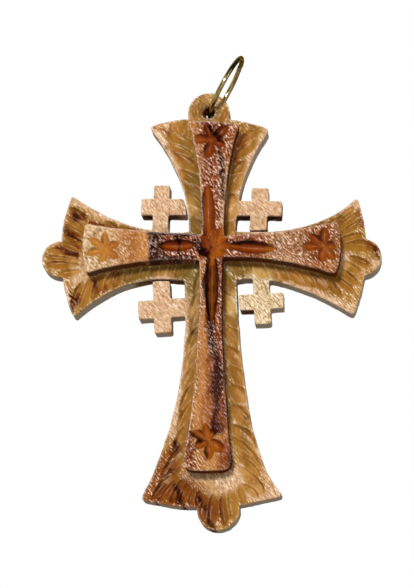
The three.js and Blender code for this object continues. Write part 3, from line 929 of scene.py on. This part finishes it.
def wood(name, colours, least_rough_and_glinting, glint_level, cut_gloss):
    """Waxed olive wood with upright grain: its flats rough from the saw and full of painted glints, its cuts
    smooth.
    The least strength, from 0 to 1, is how strongly the glints stand out where the wood is not marked as
    rough.
    Fewer glints rise above a higher glint level, and cut_gloss is how much the cuts shine."""
    colours = {key: srgb(*value) for key, value in colours.items()}
    s = Shader(name)
    carve = s.attribute("carve")
    dark = s.attribute("dark")
    flat = s.math("SUBTRACT", 1.0, carve)
    bands = s.noise((0.55, 0.55, 0.07), detail=3)
    fibres = s.noise((6.0, 6.0, 0.45), detail=3, roughness=0.6)
    cloud = s.noise((0.5, 0.5, 0.5), detail=4)
    silk = s.noise((1.1, 1.1, 0.5), detail=3, roughness=0.55, turn=SAW_TURN)
    veins = s.noise((1.6, 1.6, 0.12), detail=4, roughness=0.55)
    scratches = s.noise((6.5, 3.0, 1.2), detail=2, roughness=0.6, turn=SAW_TURN)
    grit = s.noise((4.4, 4.4, 4.4), detail=2, roughness=0.6)
    rough_cut = s.math("ADD", s.times(scratches, 0.72), s.times(grit, 0.28))

    # Grain and figure
    colour = s.mix(s.step(bands, 0.35, 0.65), colours["main"], colours["other"])
    wobble = s.times(s.math("SUBTRACT", cloud, 0.5), FIGURE_CLOUD)
    for field, soft in FIGURE_SOFTNESS.items():
        if field in colours:
            amount = s.math("ADD", s.attribute(field), wobble)
            colour = s.mix(s.step(amount, 0.5 - soft, 0.5 + soft), colour, colours[field])
    colour = s.tint(s.step(veins, 0.56, 0.7, 0.0, 0.3), colour, colours["vein"])
    colour = s.tint(s.step(fibres, 0.3, 0.75, 0.0, 0.4), colour, colours["fibre"])

    # Cuts, with their own tones, their sides painted lighter and darker as lit and shaded, and painted ridge
    # highlights
    colour = s.tint(carve, colour, colours["cut"])
    shimmer = s.times(s.math("SUBTRACT", silk, 0.5), SHIMMER)
    tone = s.times(s.math("ADD", s.attribute("tone"), shimmer), carve)
    # Lighter own tones, and painted light on the lit side and middle
    colour = s.tint(s.step(tone, 0.0, 1.0, 0.0, 0.5), colour, colours["light side"], "SCREEN")
    # Darker own tones, and painted shade on the shaded side and rims
    colour = s.tint(s.step(tone, 0.0, -1.0, 0.0, 0.85), colour, colours["dark side"])
    # Painted highlight, with a little wear, along the ridges between cuts
    ridge_wear_and_highlight = s.times(s.attribute("ridge_wear_and_highlight"), s.step(silk, 0.4, 0.62, 0.0, 0.35))
    colour = s.mix(ridge_wear_and_highlight, colour, colours["ridge_wear_and_highlight"])

    # Rough flats, darker in the low spots of the saw marks, with painted glints on the high ones, fewer on
    # dark wood
    rough_and_glinting = s.times(s.step(s.attribute("rough_and_glinting"), 0.0, 1.0, least_rough_and_glinting, 1.0), flat)
    pits = s.times(s.step(rough_cut, 0.5, 0.42), rough_and_glinting)
    colour = s.tint(pits, colour, colours["pit"])
    glint_room = s.times(rough_and_glinting, s.step(dark, 0.0, 1.0, 1.0, 0.5))
    painted_glints = s.times(s.step(rough_cut, glint_level, glint_level + GLINT_RISE), glint_room)
    colour = s.mix(s.times(painted_glints, 0.9), colour, colours["glint"])

    # Edges lightened by wear and by a painted highlight where they face the light, and walls painted with
    # their light and shade
    wear_and_highlight = s.times(s.attribute("edge"), s.step(grit, 0.4, 0.6, 0.1, 0.8))
    colour = s.mix(wear_and_highlight, colour, s.mix(0.5, colour, colours["glint"]))
    # Walls take a painted colour: pale grey as lit from below on the base, dark brown as shaded under the
    # raised cross
    wall_shading = s.times(s.attribute("wall"), s.step(dark, 0.0, 0.5, 0.9, 0.0))
    colour = s.mix(wall_shading, colour, colours["wall"])

    # Gloss of the wax, and the relief that is too fine for the mesh
    rough = s.math("ADD", s.times(carve, 0.12), s.step(cloud, 0.35, 0.65, 0.16, 0.3))
    gloss = s.math("ADD", s.times(painted_glints, 0.5), s.times(carve, cut_gloss))
    gloss = s.times(gloss, s.step(dark, 0.2, 0.9, 1.0, 0.35))
    gloss = s.times(s.math("ADD", gloss, 0.03), s.math("SUBTRACT", 1.0, s.attribute("wall")))
    relief = s.bump(s.times(scratches, flat), 0.05)
    gritty = s.times(grit, s.math("ADD", s.times(flat, 0.85), 0.15))
    relief = s.bump(gritty, 0.06, relief)
    relief = s.bump(fibres, 0.008, relief)
    return s.surface({
        "Base Color": colour, "Roughness": rough, "Normal": relief,
        "Specular IOR Level": gloss, "IOR": WAX_IOR, "Specular Tint": colours["wax"],
    })


# How softly each field of the figure begins, in the order in which they are laid over each other
FIGURE_SOFTNESS = {"olive": 0.45, "pale": 0.4, "cream_sheen": 0.4, "red": 0.42, "dark": 0.45}
# Painted light among the base's colours: the light and dark sides of cuts, glints, ridges, cream sheen and
# grey walls
BASE_COLOURS = {
    "olive": (150, 124, 70), "cream_sheen": (228, 208, 170), "main": (190, 144, 80), "other": (164, 122, 58),
    "pale": (218, 180, 142), "red": (142, 80, 22), "dark": (72, 26, 8), "vein": (200, 184, 140),
    "fibre": (220, 200, 170), "cut": (226, 202, 136), "light side": (100, 80, 38),
    "dark side": (150, 108, 52), "glint": (250, 228, 204), "pit": (185, 150, 116), "ridge_wear_and_highlight": (232, 200, 150),
    "wall": (176, 162, 142), "wax": (255, 228, 196),
}
# Painted light among the raised cross's colours: the light and dark sides of cuts, glints, ridges and dark
# walls
OVERLAY_COLOURS = {
    "main": (190, 130, 66), "other": (170, 108, 48), "pale": (212, 176, 128), "red": (138, 68, 28),
    "dark": (56, 15, 6), "vein": (180, 150, 115), "fibre": (215, 190, 160), "cut": (212, 168, 90),
    "light side": (126, 66, 4), "dark side": (100, 36, 12), "glint": (252, 226, 212), "pit": (105, 62, 46),
    "ridge_wear_and_highlight": (170, 105, 55), "wall": (78, 38, 14), "wax": (255, 222, 200),
}


def glue_material():
    """Thin film of dried wood glue, slightly cloudy"""
    s = Shader("wood_glue")
    cloud = s.noise((1.2, 1.2, 1.2), detail=3)
    return s.surface({
        "Base Color": s.mix(s.step(cloud, 0.35, 0.65), srgb(150, 118, 70), srgb(96, 66, 36)),
        "Roughness": s.step(cloud, 0.3, 0.7, 0.3, 0.5), "Normal": s.bump(cloud, 0.04),
    })


def brass_material():
    """Drawn brass wire, dulled a little by handling"""
    s = Shader("ring_brass")
    tarnish = s.noise((0.6, 0.6, 0.6), detail=4, roughness=0.6)
    marks = s.noise((5.0, 5.0, 5.0), detail=3, roughness=0.7)
    return s.surface({
        "Base Color": s.mix(s.step(tarnish, 0.35, 0.68), srgb(206, 188, 126), srgb(150, 130, 72)),
        "Metallic": 1.0, "Roughness": s.step(marks, 0.3, 0.7, 0.1, 0.2), "Normal": s.bump(marks, 0.002),
        "Specular Tint": srgb(120, 100, 60),
    })


# Jump ring

RING_WIRE = 0.84
RING_STEPS = 180
RING_SIDES = 24
# Width of the saw cut, its angle from the ring's top, and how far its ends stand out of line
RING_CUT = 0.12
RING_CUT_HEADING = 20
RING_SPRING = 0.1
WIRE_BEVEL = 0.05


def ring_place():
    """Centre of the CAD ring, its radius to the wire's middle, and unit vectors: across and up its plane
    and along its axis"""
    points = np.array([v.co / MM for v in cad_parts["jump_ring"].data.vertices])
    centre = (points.min(axis=0) + points.max(axis=0)) / 2
    _, _, axes = np.linalg.svd(points - points.mean(axis=0), full_matrices=False)
    normal = axes[2] * np.sign(axes[2][0])
    up = np.array([0, 0, 1.0]) - normal * normal[2]
    up /= norm(up)
    radius = norm(points - centre, axis=1).max() - RING_WIRE / 2
    return centre, radius, np.cross(up, normal), up, normal


def jump_ring():
    """Ring of round wire, open at a saw cut whose ends stand a little out of line"""
    centre, radius, across, up, normal = ring_place()
    heading = math.radians(90 + RING_CUT_HEADING * (1 if across[1] < 0 else -1))
    half_gap = RING_CUT / 2 / radius
    vertices = []
    for i in range(RING_STEPS + 1):
        share = i / RING_STEPS
        angle = heading - half_gap - share * (math.tau - 2 * half_gap)
        out = across * math.cos(angle) + up * math.sin(angle)
        shift = normal * RING_SPRING * (share - 0.5) * abs(2 * share - 1) ** 3
        wire = RING_WIRE / 2 - (WIRE_BEVEL if i in (0, RING_STEPS) else 0)
        for k in range(RING_SIDES):
            turn = math.tau * k / RING_SIDES
            offset = out * (radius + wire * math.cos(turn)) + normal * wire * math.sin(turn)
            vertices.append((centre + offset + shift) * MM)
    polygons = []
    for i in range(RING_STEPS):
        for k in range(RING_SIDES):
            a, b = i * RING_SIDES + k, i * RING_SIDES + (k + 1) % RING_SIDES
            polygons.append((a, b, b + RING_SIDES, a + RING_SIDES))
    polygons.append(tuple(reversed(range(RING_SIDES))))
    last = RING_STEPS * RING_SIDES
    polygons.append(tuple(last + k for k in range(RING_SIDES)))
    mesh = bpy.data.meshes.new("ring")
    mesh.from_pydata([tuple(v) for v in vertices], [], polygons)
    mesh.shade_smooth()
    for polygon in mesh.polygons[-2:]:
        polygon.use_smooth = False
    piece = in_scene("ring", mesh)
    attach(piece, "ring")
    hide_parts("jump_ring")
    return piece


# Studio

FLOOR_LEVEL = -150
FLOOR_SIZE = 6000
# How white the floor looks, how grey it is to the light and in gloss, and how matt it is
FLOOR_WHITE = 0.93
FLOOR_GREY = 0.45
FLOOR_ROUGHNESS = 0.9
# Strength of the world: as a background, behind and before the object, and in gloss to the right of it
BACKGROUND = 1.0
SHEET = 0.8
ROOM = 0.3
DARK_SIDE = 0.03
SHEET_SIDE = (0, 1, 0)
BRIGHT_SIDE = (-0.6, 0.8, 0)
# Place, size and power of the lamps
KEY_LAMP = ((-85, -675, 150), 110, 3.7)
FILL_LAMP = ((480, -420, 120), 420, 0.5)


def studio_world():
    """White all round for the camera. The object hangs between a bright sheet behind it and a dimmer room,
    and its gloss shows a dark side to the right."""
    world = bpy.data.worlds.new("studio")
    nodes = Nodes(world)
    place = nodes.add("ShaderNodeTexCoord").outputs["Generated"]
    mirrored = nodes.towards(place, BRIGHT_SIDE, -0.1, 0.7, DARK_SIDE, BACKGROUND)
    lit = nodes.towards(place, SHEET_SIDE, -0.2, 0.2, ROOM, SHEET)
    background = nodes.tree.nodes["Background"]
    nodes.feed(background.inputs["Color"], (1, 1, 1, 1))
    nodes.feed(background.inputs["Strength"], nodes.seen_or_lit(BACKGROUND, mirrored, lit))
    bpy.context.scene.world = world


def floor():
    half = FLOOR_SIZE / 2
    corners = [(-half, -half), (half, -half), (half, half), (-half, half)]
    mesh = bpy.data.meshes.new("floor")
    mesh.from_pydata([(x * MM, y * MM, FLOOR_LEVEL * MM) for x, y in corners], [], [(0, 1, 2, 3)])
    material = bpy.data.materials.new("floor_paper")
    nodes = Nodes(material)
    value = nodes.seen_or_lit(FLOOR_WHITE, FLOOR_GREY, FLOOR_GREY)
    grey = nodes.add("ShaderNodeCombineColor", {channel: value for channel in range(3)})
    surface = nodes.tree.nodes["Principled BSDF"]
    nodes.feed(surface.inputs["Base Color"], grey.outputs[0])
    nodes.feed(surface.inputs["Roughness"], FLOOR_ROUGHNESS)
    mesh.materials.append(material)
    in_scene("floor", mesh)


def lamp(name, place, size, power):
    light = bpy.data.lights.new(name, "AREA")
    light.shape = "DISK"
    light.size = size * MM
    light.energy = power
    piece = in_scene(name, light)
    piece.location = Vector(place) * MM
    piece.rotation_euler = (VIEW_TARGET * MM - piece.location).to_track_quat("-Z", "Y").to_euler()


def camera():
    """The photograph's camera, rolled about its line of sight"""
    azimuth, elevation, roll = (math.radians(a) for a in (VIEW_AZIMUTH, VIEW_ELEVATION, VIEW_ROLL))
    level = math.cos(elevation)
    away = Vector((math.sin(azimuth) * level, -math.cos(azimuth) * level, math.sin(elevation)))
    side = (-away).cross(Vector((0, 0, 1))).normalized()
    up = side.cross(-away)
    right = side * math.cos(roll) + up * math.sin(roll)
    top = up * math.cos(roll) - side * math.sin(roll)
    matrix = Matrix((right, top, away)).transposed().to_4x4()
    matrix.translation = (VIEW_TARGET + away * VIEW_DISTANCE) * MM
    data = bpy.data.cameras.new("camera")
    data.sensor_fit = "HORIZONTAL"
    data.sensor_width = SENSOR
    data.lens = FOCAL_PIXELS * SENSOR / PHOTO_WIDTH
    data.clip_start = NEAREST_SEEN * MM
    piece = in_scene("camera", data)
    piece.matrix_world = matrix
    bpy.context.scene.camera = piece


bpy.context.scene.view_settings.view_transform = "Standard"
camera()
studio_world()
floor()
lamp("key", *KEY_LAMP)
lamp("fill", *FILL_LAMP)

base = carved_piece(
    "base", "base_cross", BASE_FRONT, BASE_BACK, radius=0.2, cuts_of=base_cuts, extra=lambda x, z: 0,
    bore=RING_BORE, figure=BASE_FIGURE, wall_darkening=BASE_WALL_DARKENING, seed=11, wander=0.04,
)
base.data.materials.append(
    wood("base_wood", BASE_COLOURS, least_rough_and_glinting=0.7, glint_level=0.555, cut_gloss=0.24)
)

overlay = carved_piece(
    "raised_cross", "overlay_cross", OVERLAY_FRONT, OVERLAY_BACK, radius=0.22,
    cuts_of=lambda border: overlay_cuts(), extra=facet_depths,
    bore=NO_BORE, figure=OVERLAY_FIGURE, wall_darkening={}, seed=23, wander=0.05,
)
overlay.data.materials.append(
    wood("overlay_wood", OVERLAY_COLOURS, least_rough_and_glinting=0.3, glint_level=0.548, cut_gloss=0.14)
)

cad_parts["glue_line"].data.materials.clear()
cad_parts["glue_line"].data.materials.append(glue_material())

ring = jump_ring()
ring.data.materials.append(brass_material())
